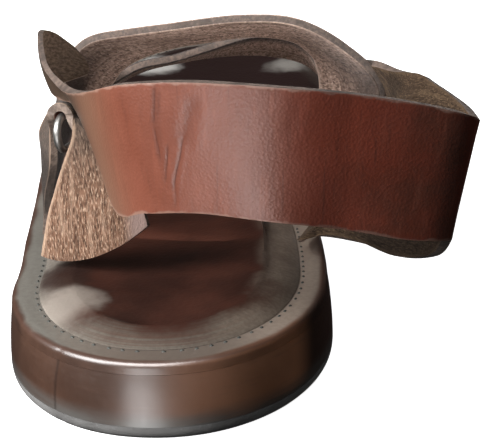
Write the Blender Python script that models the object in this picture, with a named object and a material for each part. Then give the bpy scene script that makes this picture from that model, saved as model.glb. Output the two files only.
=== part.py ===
"""Leather sandal for a left foot, standing empty on its sole.

The sole is a stack of four layers that share one outline. The upper is two straps over the foot,
joined at their legs, with a slack heel strap sewn to them on the inner side. A strap on the outer
side folds over a metal ring, beside the curled free end of the heel strap.

Tables are in millimetres. x runs to the inner side of the foot, station runs forward from the rear
of the heel, and z is the height above the floor.
"""

import math

import bmesh
import bpy
from mathutils import Vector

MM = 0.001

# Driving sizes of the sole
LENGTH = 284.0
HEEL_HALF_WIDTH = 39.0
HEEL_CENTRE = 51.5
HEEL_ROUNDNESS = 2.06
TOE_TIP_X = 6.0
TOE_ROUNDNESS = 2.35
OUTSOLE_THICKNESS = 3.0
WELT_THICKNESS = 3.0
LAYER_GAP = 0.3
ARCH_LIFT = 3.0
ARCH_START = 80.0
ARCH_END = 150.0
SPRING_START = 205.0
TOE_SPRING = 9.0
SPRING_CURVE = 1.8

# Side edges of the sole between the round heel and the round toe. Columns: station, x
OUTER_EDGE = ((51.5, -39.0), (85.0, -41.4), (120.0, -44.2), (155.0, -47.4), (190.0, -49.4))
INNER_EDGE = ((51.5, 39.0), (76.5, 38.0), (118.0, 34.8), (155.0, 40.0), (205.0, 50.0))

# Height of the rim along the sole. Columns: station, z
RIM_LINE = ((0.0, 18.5), (62.0, 18.5), (120.0, 16.6), (178.0, 14.2), (215.0, 14.8), (284.0, 20.0))

# Side walls of the layers, from bottom to top. Columns: share of the height, inset
OUTSOLE_WALL = ((0.0, 0.2), (0.3, -0.6), (0.6, -0.9), (1.0, -1.0))
MIDSOLE_WALL = ((0.0, -1.0), (0.3, -0.9), (0.7, -0.5), (1.0, 0.0))
WELT_WALL = ((0.0, 0.0), (0.5, 0.1), (0.75, 0.3), (0.9, 0.7), (1.0, 1.5))
INSOLE_WALL = ((0.0, 7.0), (0.2, 7.1), (0.5, 8.6), (0.75, 11.0), (1.0, 15.0))

# Shape of the footbed
INSOLE_EDGE = 2.6
HEEL_DISH = 1.4
HEEL_DISH_END = 70.0
FOREFOOT_DISH = 0.9
FOREFOOT_DISH_START = 170.0
DISH_ROUNDNESS = 1.3
ARCH_SUPPORT = 3.5
ARCH_SUPPORT_AT = 112.0
ARCH_SUPPORT_REACH = 42.0

SOLE_STEPS = 44
INSOLE_COLUMNS = 12

# Straps
STRAP_THICKNESS = 2.2
STRAP_INSET = 4.6

# Instep strap and ball strap: the four edges that cross the foot from the outer leg to the inner leg.
# First row: outer station, inner station. Second row, each as x and z: outer side, outer shoulder,
# outer crown, ridge, inner shoulder, inner side.
INSTEP_REAR = (
    (103.0, 96.0),
    ((-34.0, 43.0), (-27.0, 64.2), (-10.0, 69.3), (25.5, 72.1), (44.0, 64.4), (54.0, 48.5)),
)
INSTEP_FRONT = (
    (130.0, 133.0),
    ((-32.0, 34.0), (-18.5, 51.5), (-2.0, 57.6), (21.0, 60.0), (34.0, 56.0), (37.5, 42.0)),
)
BALL_REAR = (
    (139.0, 143.0),
    ((-33.0, 31.5), (-18.5, 47.2), (-1.5, 52.0), (21.0, 57.8), (35.5, 53.0), (39.5, 38.0)),
)
BALL_FRONT = (
    (166.0, 170.0),
    ((-36.0, 28.0), (-19.5, 39.8), (-3.5, 43.8), (16.0, 45.2), (33.0, 42.0), (41.5, 31.0)),
)
CROSSING_STEPS = 44
INSTEP_ROWS = 4
BALL_ROWS = 3
SLIT_START = 0.24
SLIT_END = 0.76

# Heel strap: a row for each section, from its sewn front end on the inner side, out round the slack
# loop, across the back and forward on the outer side to its tip. Bulge is outward, across the width.
# Columns: upper x, upper station, upper z, lower x, lower station, lower z, bulge
HEEL_STRAP = (
    (43.8, 118.0, 55.6, 42.2, 118.0, 35.0, 3.0),
    (48.2, 107.0, 58.0, 45.4, 107.0, 33.0, 4.2),
    (52.6, 97.0, 60.0, 46.5, 98.0, 29.0, 7.0),
    (57.0, 87.0, 60.8, 38.5, 88.0, 22.0, 7.5),
    (60.5, 79.0, 62.3, 33.0, 75.0, 19.8, 5.0),
    (63.5, 72.0, 63.4, 32.0, 62.0, 23.6, 3.0),
    (65.7, 66.0, 63.2, 38.0, 61.0, 25.3, 2.0),
    (69.2, 56.0, 63.0, 47.0, 52.3, 26.7, 1.0),
    (71.8, 45.0, 63.2, 56.0, 44.5, 25.8, 0.5),
    (73.0, 33.5, 63.7, 63.6, 34.0, 30.0, 0.0),
    (72.0, 24.5, 66.4, 66.2, 24.0, 37.8, 0.0),
    (69.0, 18.8, 69.4, 64.2, 18.7, 39.8, 0.0),
    (59.2, 14.4, 73.0, 55.0, 14.0, 42.1, 0.2),
    (45.0, 9.0, 77.0, 43.0, 9.4, 46.1, 0.3),
    (30.4, 4.2, 80.0, 28.8, 4.2, 49.9, 0.3),
    (10.4, 6.0, 81.1, 11.3, 6.8, 51.5, 0.3),
    (-5.0, 12.8, 79.0, -0.5, 12.0, 49.3, 0.3),
    (-13.5, 23.5, 74.5, -8.0, 21.8, 45.4, 0.2),
    (-20.0, 39.5, 70.0, -12.8, 34.5, 54.5, 0.0),
    (-25.2, 53.5, 68.4, -15.8, 51.0, 61.4, 0.0),
    (-30.1, 65.0, 70.3, -26.5, 64.5, 61.6, 0.0),
    (-32.2, 76.0, 75.2, -30.0, 76.0, 61.0, 1.0),
    (-30.2, 85.0, 72.8, -26.8, 86.0, 60.0, 0.8),
    (-27.0, 92.5, 67.0, -23.5, 93.0, 59.5, 0.0),
)
HEEL_STRAP_STEPS = 4
HEEL_STRAP_ACROSS = 6
HEEL_STRAP_TIP = 3.0

# Ring, hung by its upper bar in the fold of the quarter strap
RING_BAR = Vector((-25.7, 67.0, 56.5))
RING_WIRE_RADIUS = 1.0
RING_WIDTH = 12.4
RING_HEIGHT = 8.4
RING_CORNER = 3.9
RING_CORNER_STEPS = 5
RING_SIDES = 10
RING_ALONG = Vector((0.32, 0.95, 0.0)).normalized()
RING_HANG = Vector((0.06, 0.0, -1.0)).normalized()

# Quarter strap: the outer leg from the sole up to the ring, and the tab that hangs down inside.
# Columns: rear x, rear station, rear z, front x, front station, front z, bulge
QUARTER_THICKNESS = 2.0
QUARTER_LEG = (
    (-35.6, 83.0, 18.5, -36.2, 96.0, 18.5, 0.0),
    (-33.8, 81.0, 30.0, -36.0, 92.0, 30.0, 0.4),
    (-31.2, 76.5, 40.5, -35.2, 86.5, 41.0, 0.5),
    (-30.0, 71.5, 48.0, -34.0, 80.5, 48.5, 0.4),
    (-29.2, 67.0, 53.4, -30.6, 75.0, 54.4, 0.2),
)
QUARTER_TAB = (
    (-23.3, 59.5, 53.0, -16.1, 61.0, 52.8, 0.5),
    (-24.7, 58.0, 48.4, -12.9, 57.0, 48.6, 0.8),
    (-26.6, 57.0, 43.0, -9.4, 53.0, 44.2, 1.0),
    (-29.6, 56.0, 34.2, -6.2, 49.5, 39.0, 1.2),
    (-32.0, 55.0, 23.4, -4.4, 47.5, 33.6, 1.0),
)
FOLD_HALF_WIDTH = 3.4
FOLD_CLEARANCE = 0.7
FOLD_ROWS = 7
QUARTER_STEPS = 4
QUARTER_ACROSS = 5
TAB_ROUND = 4.0

# Colour, roughness and metallic value of each sub-part
FINISHES = {
    "outsole": ((0.16, 0.15, 0.145), 0.8, 0.0),
    "midsole": ((0.11, 0.05, 0.035), 0.35, 0.0),
    "welt": ((0.14, 0.07, 0.05), 0.4, 0.0),
    "insole": ((0.06, 0.025, 0.018), 0.35, 0.0),
    "upper": ((0.20, 0.075, 0.045), 0.4, 0.0),
    "quarter_strap": ((0.25, 0.14, 0.09), 0.85, 0.0),
    "ring": ((0.55, 0.53, 0.5), 0.3, 1.0),
}
SMOOTH_ANGLE = math.radians(40.0)


def clear_scene():
    for old in list(bpy.data.objects):
        bpy.data.objects.remove(old, do_unlink=True)


def through(rows, at):
    """Smooth curve through rows of (place, value), level at both ends."""
    places = [row[0] for row in rows]
    values = [row[1] for row in rows]
    last = len(rows) - 1
    if at <= places[0]:
        return values[0]
    if at >= places[last]:
        return values[last]
    span = 0
    while at > places[span + 1]:
        span += 1
    slopes = [0.0] * len(rows)
    for i in range(1, last):
        slopes[i] = (values[i + 1] - values[i - 1]) / (places[i + 1] - places[i - 1])
    width = places[span + 1] - places[span]
    t = (at - places[span]) / width
    start = values[span] * (2 * t**3 - 3 * t**2 + 1) + width * slopes[span] * (t**3 - 2 * t**2 + t)
    end = values[span + 1] * (3 * t**2 - 2 * t**3) + width * slopes[span + 1] * (t**3 - t**2)
    return start + end


def along(rows, at):
    """Smooth curve through equally spaced rows of numbers, at 0 on the first row."""
    last = len(rows) - 1
    span = min(int(at), last - 1)
    t = at - span
    before = rows[max(span - 1, 0)]
    first = rows[span]
    second = rows[span + 1]
    after = rows[min(span + 2, last)]
    result = []
    for a, b, c, d in zip(before, first, second, after):
        bend = (2 * a - 5 * b + 4 * c - d) * t**2 + (3 * b - a - 3 * c + d) * t**3
        result.append(b + 0.5 * ((c - a) * t + bend))
    return result


def round_end(half_width, length, roundness, back):
    """Half width of a rounded end, back from its widest place."""
    share = min(max(back / length, 0.0), 1.0)
    return half_width * (1.0 - share**roundness) ** (1.0 / roundness)


def sole_edge(side, station):
    """x of the sole's edge, with side -1 on the outer and 1 on the inner side of the foot."""
    rows = OUTER_EDGE if side < 0 else INNER_EDGE
    if station < HEEL_CENTRE:
        back = HEEL_CENTRE - station
        half = round_end(HEEL_HALF_WIDTH, HEEL_CENTRE, HEEL_ROUNDNESS, back)
        return side * half
    widest, edge = rows[-1]
    if station <= widest:
        return through(rows, station)
    half = abs(edge - TOE_TIP_X)
    return TOE_TIP_X + side * round_end(half, LENGTH - widest, TOE_ROUNDNESS, station - widest)


def sole_outline():
    """Edge points of the sole with their outward directions, as pairs on the two sides."""
    turns = [math.pi * k / SOLE_STEPS for k in range(SOLE_STEPS + 1)]
    stations = [0.5 * LENGTH * (1.0 - math.cos(turn)) for turn in turns]
    outer = [Vector((sole_edge(-1, s), s)) for s in stations]
    inner = [Vector((sole_edge(1, s), s)) for s in stations]
    loop = outer + inner[-2:0:-1]
    count = len(loop)
    outward = []
    for i in range(count):
        run = loop[(i + 1) % count] - loop[i - 1]
        outward.append(Vector((-run.y, run.x)).normalized())
    pairs = []
    for k in range(SOLE_STEPS + 1):
        across = (count - k) % count
        pairs.append(((loop[k], outward[k]), (loop[across], outward[across])))
    return pairs


def ground_line(station):
    """Height of the underside: flat under heel and ball, lifted at the arch and the toe."""
    if ARCH_START < station < ARCH_END:
        share = (station - ARCH_START) / (ARCH_END - ARCH_START)
        return ARCH_LIFT * math.sin(math.pi * share) ** 2
    if station > SPRING_START:
        return TOE_SPRING * ((station - SPRING_START) / (LENGTH - SPRING_START)) ** SPRING_CURVE
    return 0.0


def rim_line(station):
    return through(RIM_LINE, station)


def footbed_rise(side_share, station):
    """Height of the footbed over the rim, with side_share from -1 outer to 1 inner."""
    forward = (station - HEEL_DISH_END) / (FOREFOOT_DISH_START - HEEL_DISH_END)
    dish = HEEL_DISH + (FOREFOOT_DISH - HEEL_DISH) * min(max(forward, 0.0), 1.0)
    rise = INSOLE_EDGE - dish * (1.0 - side_share**2) ** DISH_ROUNDNESS
    near_arch = math.exp(-(((station - ARCH_SUPPORT_AT) / ARCH_SUPPORT_REACH) ** 2))
    return rise + ARCH_SUPPORT * near_arch * max(side_share, 0.0) ** 2


def build_object(name, bm):
    bmesh.ops.remove_doubles(bm, verts=bm.verts, dist=1e-6)
    bmesh.ops.recalc_face_normals(bm, faces=bm.faces)
    mesh = bpy.data.meshes.new(name)
    bm.to_mesh(mesh)
    bm.free()
    mesh.shade_smooth()
    mesh.set_sharp_from_angle(angle=SMOOTH_ANGLE)
    part = bpy.data.objects.new(name, mesh)
    bpy.context.scene.collection.objects.link(part)
    return part


def give_finish(part):
    colour, roughness, metallic = FINISHES[part.name]
    material = bpy.data.materials.new(part.name)
    material.use_nodes = True
    shader = material.node_tree.nodes["Principled BSDF"]
    shader.inputs["Base Color"].default_value = (*colour, 1.0)
    shader.inputs["Roughness"].default_value = roughness
    shader.inputs["Metallic"].default_value = metallic
    part.data.materials.clear()
    part.data.materials.append(material)


def layer(name, floor, ceiling, wall, columns=1, rise=None):
    """A layer of the sole: a closed ring of points at each pair of edge points, joined in turn."""
    bm = bmesh.new()
    rings = []
    for pair in sole_outline():
        sides = []
        for edge, outward in pair:
            points = []
            for share, inset in wall:
                spot = edge - outward * inset
                low = floor(spot.y)
                points.append(Vector((spot.x, spot.y, low + share * (ceiling(spot.y) - low))))
            sides.append(points)
        top = []
        for c in range(1, columns):
            spot = sides[0][-1].lerp(sides[1][-1], c / columns)
            spot.z = ceiling(spot.y)
            if rise:
                spot.z = rim_line(spot.y) + rise(2.0 * c / columns - 1.0, spot.y)
            top.append(spot)
        ring = sides[0] + top + sides[1][::-1]
        rings.append([bm.verts.new(point * MM) for point in ring])
    size = len(rings[0])
    for ring, following in zip(rings, rings[1:]):
        for i in range(size):
            j = (i + 1) % size
            bm.faces.new((ring[i], ring[j], following[j], following[i]))
    for end in (rings[0], rings[-1]):
        bm.faces.new(end)
    bmesh.ops.remove_doubles(bm, verts=bm.verts, dist=1e-6)
    bmesh.ops.dissolve_degenerate(bm, edges=bm.edges, dist=1e-6)
    return build_object(name, bm)


def build_sole():
    outsole = layer("outsole", ground_line, lambda s: ground_line(s) + OUTSOLE_THICKNESS, OUTSOLE_WALL)

    def midsole_floor(station):
        return ground_line(station) + OUTSOLE_THICKNESS + LAYER_GAP

    def midsole_ceiling(station):
        return rim_line(station) - WELT_THICKNESS - LAYER_GAP

    midsole = layer("midsole", midsole_floor, midsole_ceiling, MIDSOLE_WALL)
    welt = layer("welt", lambda s: rim_line(s) - WELT_THICKNESS, rim_line, WELT_WALL)
    insole = layer("insole", lambda s: rim_line(s) + LAYER_GAP, lambda s: rim_line(s) + INSOLE_EDGE,
                   INSOLE_WALL, INSOLE_COLUMNS, footbed_rise)
    return [outsole, midsole, welt, insole]


def sheet(name, grid, thickness, standing=(), is_open=None):
    """A leather sheet of even thickness on a grid of middle points, closed round every edge.

    The rows named as standing end level, just over the rim of the sole.
    """
    rows = len(grid)
    columns = len(grid[0])
    bm = bmesh.new()
    faces_of = ([], [])
    for i in range(rows):
        for j in range(columns):
            run = grid[min(i + 1, rows - 1)][j] - grid[max(i - 1, 0)][j]
            width = grid[i][min(j + 1, columns - 1)] - grid[i][max(j - 1, 0)]
            outward = run.cross(width).normalized() * thickness / 2
            for face, spot in zip(faces_of, (grid[i][j] + outward, grid[i][j] - outward)):
                if i in standing:
                    spot.z = rim_line(spot.y) + LAYER_GAP
                face.append(bm.verts.new(spot * MM))
    rim_edges = {}
    for i in range(rows - 1):
        for j in range(columns - 1):
            if is_open and is_open(i, j):
                continue
            here = i * columns + j
            corners = (here, here + columns, here + columns + 1, here + 1)
            bm.faces.new([faces_of[0][c] for c in corners])
            bm.faces.new([faces_of[1][c] for c in reversed(corners)])
            for a, b in zip(corners, corners[1:] + corners[:1]):
                if (b, a) in rim_edges:
                    del rim_edges[(b, a)]
                else:
                    rim_edges[(a, b)] = True
    for a, b in rim_edges:
        bm.faces.new((faces_of[0][b], faces_of[0][a], faces_of[1][a], faces_of[1][b]))
    loose = [vert for vert in bm.verts if not vert.link_faces]
    bmesh.ops.delete(bm, geom=loose, context="VERTS")
    return build_object(name, bm)


def strap_grid(rows, steps, across, end_round):
    """Middle points of a strap through its sections, with a bulge and a rounded far end."""
    count = (len(rows) - 1) * steps + 1
    sections = [along(rows, i / steps) for i in range(count)]
    edges = [(Vector(s[0:3]), Vector(s[3:6])) for s in sections]
    middles = [(a + b) / 2 for a, b in edges]
    grid = []
    for i in range(count):
        first, second = edges[i]
        run = (middles[min(i + 1, count - 1)] - middles[max(i - 1, 0)]).normalized()
        outward = run.cross(second - first).normalized()
        near_end = max(0.0, 1.0 - (count - 1 - i) / steps)
        line = []
        for j in range(across + 1):
            t = j / across
            arch = 4.0 * t * (1.0 - t)
            swell = outward * sections[i][6] + run * end_round * near_end
            line.append(first.lerp(second, t) + swell * arch)
        grid.append(line)
    return grid


def crossing_edge(row):
    """The points of one edge across the foot, from the outer leg to the inner leg."""
    (outer_station, inner_station), between = row
    outer_x = sole_edge(-1, outer_station) + STRAP_INSET
    inner_x = sole_edge(1, inner_station) - STRAP_INSET
    outline = [(outer_x, rim_line(outer_station)), *between, (inner_x, rim_line(inner_station))]
    last = len(outline) - 1
    points = []
    for i in range(CROSSING_STEPS + 1):
        share = i / CROSSING_STEPS
        x, z = along(outline, share * last)
        points.append(Vector((x, outer_station + share * (inner_station - outer_station), z)))
    return points


def build_crossing():
    """Instep strap and ball strap, one sheet with a slit between them."""
    instep_rear, instep_front, ball_rear, ball_front = [
        crossing_edge(row) for row in (INSTEP_REAR, INSTEP_FRONT, BALL_REAR, BALL_FRONT)
    ]
    grid = []
    for i in range(CROSSING_STEPS + 1):
        line = [instep_rear[i].lerp(instep_front[i], r / INSTEP_ROWS) for r in range(INSTEP_ROWS + 1)]
        line += [ball_rear[i].lerp(ball_front[i], r / BALL_ROWS) for r in range(BALL_ROWS + 1)]
        grid.append(line)

    def in_slit(i, j):
        return j == INSTEP_ROWS and SLIT_START <= (i + 0.5) / CROSSING_STEPS <= SLIT_END

    return sheet("upper", grid, STRAP_THICKNESS, (0, CROSSING_STEPS), in_slit)


def build_upper():
    crossing = build_crossing()
    grid = strap_grid(HEEL_STRAP, HEEL_STRAP_STEPS, HEEL_STRAP_ACROSS, HEEL_STRAP_TIP)
    heel_strap = sheet("heel_strap", grid, STRAP_THICKNESS)
    heel_strap.parent = crossing
    heel_strap.hide_render = True
    heel_strap.display_type = "WIRE"
    sewing = crossing.modifiers.new("sewn to the heel strap", "BOOLEAN")
    sewing.operation = "UNION"
    sewing.solver = "EXACT"
    sewing.object = heel_strap
    return crossing


def build_ring():
    """A round wire bent to a long ring with round ends, hanging from its upper bar."""
    facing = RING_ALONG.cross(RING_HANG).normalized()
    half = RING_WIDTH / 2 - RING_CORNER
    corners = ((half, RING_CORNER, -90.0), (half, RING_HEIGHT - RING_CORNER, 0.0),
               (-half, RING_HEIGHT - RING_CORNER, 90.0), (-half, RING_CORNER, 180.0))
    bm = bmesh.new()
    rings = []
    for centre_along, centre_down, start in corners:
        for step in range(RING_CORNER_STEPS + 1):
            turn = math.radians(start + 90.0 * step / RING_CORNER_STEPS)
            away = RING_ALONG * math.cos(turn) + RING_HANG * math.sin(turn)
            centre = RING_BAR + RING_ALONG * centre_along + RING_HANG * centre_down + away * RING_CORNER
            ring = []
            for side in range(RING_SIDES):
                angle = 2.0 * math.pi * side / RING_SIDES
                offset = away * math.cos(angle) + facing * math.sin(angle)
                ring.append(bm.verts.new((centre + offset * RING_WIRE_RADIUS) * MM))
            rings.append(ring)
    for ring, following in zip(rings, rings[1:] + rings[:1]):
        for i in range(RING_SIDES):
            j = (i + 1) % RING_SIDES
            bm.faces.new((ring[i], ring[j], following[j], following[i]))
    return build_object("ring", bm)


def fold_rows():
    """Sections of the quarter strap round the upper bar of the ring, outer side first."""
    facing = RING_ALONG.cross(Vector((0.0, 0.0, 1.0))).normalized()
    radius = RING_WIRE_RADIUS + FOLD_CLEARANCE + QUARTER_THICKNESS / 2
    rows = []
    for i in range(FOLD_ROWS):
        turn = math.pi * (1.0 - i / (FOLD_ROWS - 1))
        middle = RING_BAR + facing * radius * math.cos(turn)
        middle.z += radius * math.sin(turn)
        rear = middle - RING_ALONG * FOLD_HALF_WIDTH
        front = middle + RING_ALONG * FOLD_HALF_WIDTH
        rows.append((*rear, *front, 0.0))
    return tuple(rows)


def build_quarter_strap():
    rows = QUARTER_LEG + fold_rows() + QUARTER_TAB
    grid = strap_grid(rows, QUARTER_STEPS, QUARTER_ACROSS, TAB_ROUND)
    return sheet("quarter_strap", grid, QUARTER_THICKNESS, (0,))


def main():
    clear_scene()
    sandal = bpy.data.objects.new("sandal", None)
    sandal.location.y = -HEEL_CENTRE * MM
    bpy.context.scene.collection.objects.link(sandal)
    parts = build_sole() + [build_upper(), build_quarter_strap(), build_ring()]
    for part in parts:
        part.parent = sandal
        give_finish(part)


main()
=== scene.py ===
"""Looks of the leather sandal: leather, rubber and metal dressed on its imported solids.

Sizes are in millimetres, in the shoe's own frame: x to the inner side of the foot, station forward
from the rear of the heel, z above the floor. Materials, camera, lights and the floor's half size
count in metres, from the solids' origin.
"""

import math

import bmesh
import bpy
from mathutils import Matrix, Vector, noise


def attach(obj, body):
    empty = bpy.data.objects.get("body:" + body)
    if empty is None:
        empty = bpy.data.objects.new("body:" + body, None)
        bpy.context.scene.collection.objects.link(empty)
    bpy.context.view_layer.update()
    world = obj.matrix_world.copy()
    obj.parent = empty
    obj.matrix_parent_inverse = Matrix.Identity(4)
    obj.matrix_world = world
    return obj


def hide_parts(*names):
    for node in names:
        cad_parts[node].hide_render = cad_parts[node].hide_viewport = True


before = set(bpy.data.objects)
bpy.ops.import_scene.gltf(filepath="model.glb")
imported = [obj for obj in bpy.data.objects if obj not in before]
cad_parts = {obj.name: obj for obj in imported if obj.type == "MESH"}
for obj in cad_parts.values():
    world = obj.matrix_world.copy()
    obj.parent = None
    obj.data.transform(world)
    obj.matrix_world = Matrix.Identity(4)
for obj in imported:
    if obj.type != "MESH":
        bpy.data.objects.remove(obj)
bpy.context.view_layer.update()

MM = 0.001
UP = Vector((0.0, 0.0, 1.0))

# Sole
LENGTH = 284.0
HEEL_HALF_WIDTH = 39.0
HEEL_CENTRE = 51.5
HEEL_ROUNDNESS = 2.06
TOE_TIP_X = 6.0
TOE_ROUNDNESS = 2.35
OUTSOLE_THICKNESS = 3.0
WELT_THICKNESS = 3.0
ARCH_LIFT = 3.0
ARCH_START = 80.0
ARCH_END = 150.0
SPRING_START = 205.0
TOE_SPRING = 9.0
SPRING_CURVE = 1.8
SOLE_STEPS = 300
WALL_STEPS = 14
WELT_COLUMNS = 24
MERGE_DISTANCE = 1e-4

# Side edges of the sole. Columns: station, x
OUTER_EDGE = ((51.5, -39.0), (85.0, -41.4), (120.0, -44.2), (155.0, -47.4), (190.0, -49.4))
INNER_EDGE = ((51.5, 39.0), (76.5, 38.0), (118.0, 34.8), (155.0, 40.0), (205.0, 50.0))

# Height of the rim along the sole. Columns: station, z
RIM_LINE = ((0.0, 18.5), (62.0, 18.5), (120.0, 16.6), (178.0, 14.2), (215.0, 14.8), (284.0, 20.0))

# Side walls of the layers, from bottom to top. Columns: share of the height, inset
OUTSOLE_WALL = ((0.0, 0.2), (0.15, -0.25), (0.3, -0.6), (0.6, -0.9), (1.0, -1.0))
MIDSOLE_WALL = ((0.0, -1.0), (0.3, -0.9), (0.7, -0.5), (1.0, 0.0))
WELT_WALL = (
    (0.0, 0.0), (0.25, 0.05), (0.5, 0.1), (0.65, 0.18),
    (0.8, 0.4), (0.9, 0.7), (0.96, 1.05), (1.0, 1.5),
)
INSOLE_WALL = ((0.0, 6.9), (0.1, 7.3), (0.25, 8.1), (0.5, 9.6), (0.75, 11.7), (1.0, 15.0))
VISIBLE_GAP = 0.06

# Slight hand-made waves. Columns: depth, size
WALL_WAVES = ((0.08, 18.0), (0.02, 6.0))
FOOTBED_WAVES = ((0.16, 22.0), (0.07, 8.0))
HEEL_STRAP_WAVES = ((0.22, 14.0),)
CROSSING_WAVES = ((0.3, 12.0),)
QUARTER_WAVES = ((0.25, 7.0),)

# Footbed
INSOLE_EDGE = 2.6
HEEL_DISH = 1.4
HEEL_DISH_END = 70.0
FOREFOOT_DISH = 0.9
FOREFOOT_DISH_START = 170.0
DISH_ROUNDNESS = 1.3
ARCH_SUPPORT = 3.5
ARCH_SUPPORT_AT = 112.0
ARCH_SUPPORT_REACH = 42.0
INSOLE_COLUMNS = 64

# Tread of the outsole: shallow wavy grooves across the foot
TREAD_COLUMNS = 40
TREAD_PITCH = 7.0
TREAD_DEPTH = 0.45
TREAD_RISE = (0.55, 0.85)
TREAD_MARGIN = (7.0, 9.0)
TREAD_WAVE = 2.2
TREAD_WAVE_LENGTH = 24.0

# Joint of the strip round the sole wall: a fine upright groove on the outer side of the heel
WALL_JOINT_STATION = 9.0
WALL_JOINT_WIDTH = 0.55
WALL_JOINT_DEPTH = 0.15

# Stitches round the footbed
STITCH_INSET = 6.1
STITCH_PITCH = 3.7
STITCH_LENGTH = 1.5
STITCH_RADIUS = 0.36
STITCH_SINK = 0.05
STITCH_DIP = 0.5
STITCH_SIDES = 8
STITCH_STEPS = 6

# Straps
STRAP_THICKNESS = 2.2
STRAP_INSET = 4.6
EDGE_ROUND = 0.55
EDGE_SEGMENTS = 3
SHARP_ANGLE = math.radians(50.0)

# Instep strap and ball strap: the four edges that cross the foot from the outer leg to the inner leg.
# First row: outer station, inner station. Second row, each as x and z: outer side, outer shoulder,
# outer crown, ridge, inner shoulder, inner side.
INSTEP_REAR = (
    (103.0, 96.0),
    ((-34.0, 43.0), (-27.0, 64.2), (-10.0, 69.3), (25.5, 72.1), (44.0, 64.4), (54.0, 48.5)),
)
INSTEP_FRONT = (
    (130.0, 133.0),
    ((-32.0, 34.0), (-18.5, 51.5), (-2.0, 57.6), (21.0, 60.0), (34.0, 56.0), (37.5, 42.0)),
)
BALL_REAR = (
    (139.0, 143.0),
    ((-33.0, 31.5), (-18.5, 47.2), (-1.5, 52.0), (21.0, 57.8), (35.5, 53.0), (39.5, 38.0)),
)
BALL_FRONT = (
    (166.0, 170.0),
    ((-36.0, 28.0), (-19.5, 39.8), (-3.5, 43.8), (16.0, 45.2), (33.0, 42.0), (41.5, 31.0)),
)
CROSSING_STEPS = 200
INSTEP_ROWS = 24
BALL_ROWS = 20
SLIT_START = 0.24
SLIT_END = 0.76
SLIT_TAPER = 0.05
SLIT_CLOSED = 0.46
# Painted highlight along the front edge of the instep strap, and painted shadow on the ball strap's underside
# near its rear edge, in mm from these edges
SLIT_RIM = (0.0, 0.4)
BALL_SHADE = (1.0, 12.0)

# Heel strap: a row for each section, from its sewn front end on the inner side, out round the slack
# loop, across the back and forward on the outer side to its tip. Bulge is outward, across the width.
# Columns: upper x, upper station, upper z, lower x, lower station, lower z, bulge
HEEL_STRAP = (
    (43.8, 118.0, 55.6, 42.2, 118.0, 35.0, 3.0),
    (48.2, 107.0, 58.0, 45.4, 107.0, 33.0, 4.2),
    (52.6, 97.0, 60.0, 46.5, 98.0, 29.0, 7.0),
    (57.0, 87.0, 60.8, 38.5, 88.0, 22.0, 7.5),
    (60.5, 79.0, 62.3, 33.0, 75.0, 19.8, 5.0),
    (63.5, 72.0, 63.4, 32.0, 62.0, 23.6, 3.0),
    (65.7, 66.0, 63.2, 38.0, 61.0, 25.3, 2.0),
    (69.2, 56.0, 63.0, 47.0, 52.3, 26.7, 1.0),
    (71.8, 45.0, 63.2, 56.0, 44.5, 25.8, 0.5),
    (73.0, 33.5, 63.7, 63.6, 34.0, 30.0, 0.0),
    (72.0, 24.5, 66.4, 66.2, 24.0, 37.8, 0.0),
    (69.0, 18.8, 69.4, 64.2, 18.7, 39.8, 0.0),
    (59.2, 14.4, 73.0, 55.0, 14.0, 42.1, 0.2),
    (45.0, 9.0, 77.0, 43.0, 9.4, 46.1, 0.3),
    (30.4, 4.2, 80.0, 28.8, 4.2, 49.9, 0.3),
    (10.4, 6.0, 81.1, 11.3, 6.8, 51.5, 0.3),
    (-5.0, 12.8, 79.0, -0.5, 12.0, 49.8, 0.3),
    (-13.5, 23.5, 74.5, -8.0, 21.8, 46.5, 0.2),
    (-20.0, 39.5, 70.0, -12.8, 34.5, 54.5, 0.0),
    (-25.2, 53.5, 68.4, -15.8, 51.0, 61.4, 0.0),
    (-30.1, 65.0, 70.3, -26.5, 64.5, 61.6, 0.0),
    (-32.2, 76.0, 75.2, -30.0, 76.0, 61.0, 1.0),
    (-30.2, 85.0, 72.8, -26.8, 86.0, 60.0, 0.8),
    (-27.0, 92.5, 67.0, -23.5, 93.0, 59.5, 0.0),
)
HEEL_STRAP_STEPS = 36
HEEL_STRAP_ACROSS = 36
HEEL_STRAP_TIP = 3.0
HEEL_EDGE_ROUND = 0.7
SKIVED_ROWS = (17.5, 20.0)
SKIVED_SHARE = 0.6
TIGHT_BEND_ROW = 5.2
TIGHT_BEND_SHARE = 0.2
TIGHT_BEND_WIDTH = (0.4, 0.75)
# Rows over which the inside of the heel strap turns to its paler shading colour, as painted light towards its
# tip
PAINTED_LIGHT_ROWS = (10.0, 17.0)
AGED_ROWS = (15.8, 18.6)

# Creases of the heel strap, on its rows above and shares of its width from the upper edge, each darkened with
# painted shade.
# Columns: first row, first share, last row, last share, depth, half width, darkness of the painted shade
HEEL_CREASES = (
    (15.45, 0.03, 15.53, 0.31, 0.13, 0.50, 0.75),
    (15.38, 0.05, 15.44, 0.25, 0.05, 0.36, 0.45),
    (15.53, 0.34, 15.50, 0.58, 0.10, 0.40, 0.65),
    (15.37, 0.48, 15.41, 0.65, 0.10, 0.36, 0.80),
    (15.43, 0.60, 15.46, 0.74, 0.08, 0.34, 0.60),
    (15.15, 0.42, 15.21, 0.60, 0.12, 0.42, 0.80),
    (15.22, 0.58, 15.36, 0.80, 0.12, 0.42, 0.85),
    (15.30, 0.76, 15.36, 0.95, 0.06, 0.36, 0.40),
    (14.98, 0.10, 15.16, 0.46, 0.12, 1.60, 0.30),
    (16.10, 0.15, 16.02, 0.85, 0.10, 2.60, 0.0),
    (13.80, 0.02, 13.94, 0.36, 0.06, 1.60, 0.0),
)

# Form of a crease: how far it reaches, how it fades at its ends, and the ridges on both sides of it,
# in half widths and shares
CREASE_REACH = 3.5
CREASE_FADE = (-0.15, 0.2)
RIDGE_SHARE = 0.45
RIDGE_PLACE = 2.0

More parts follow.
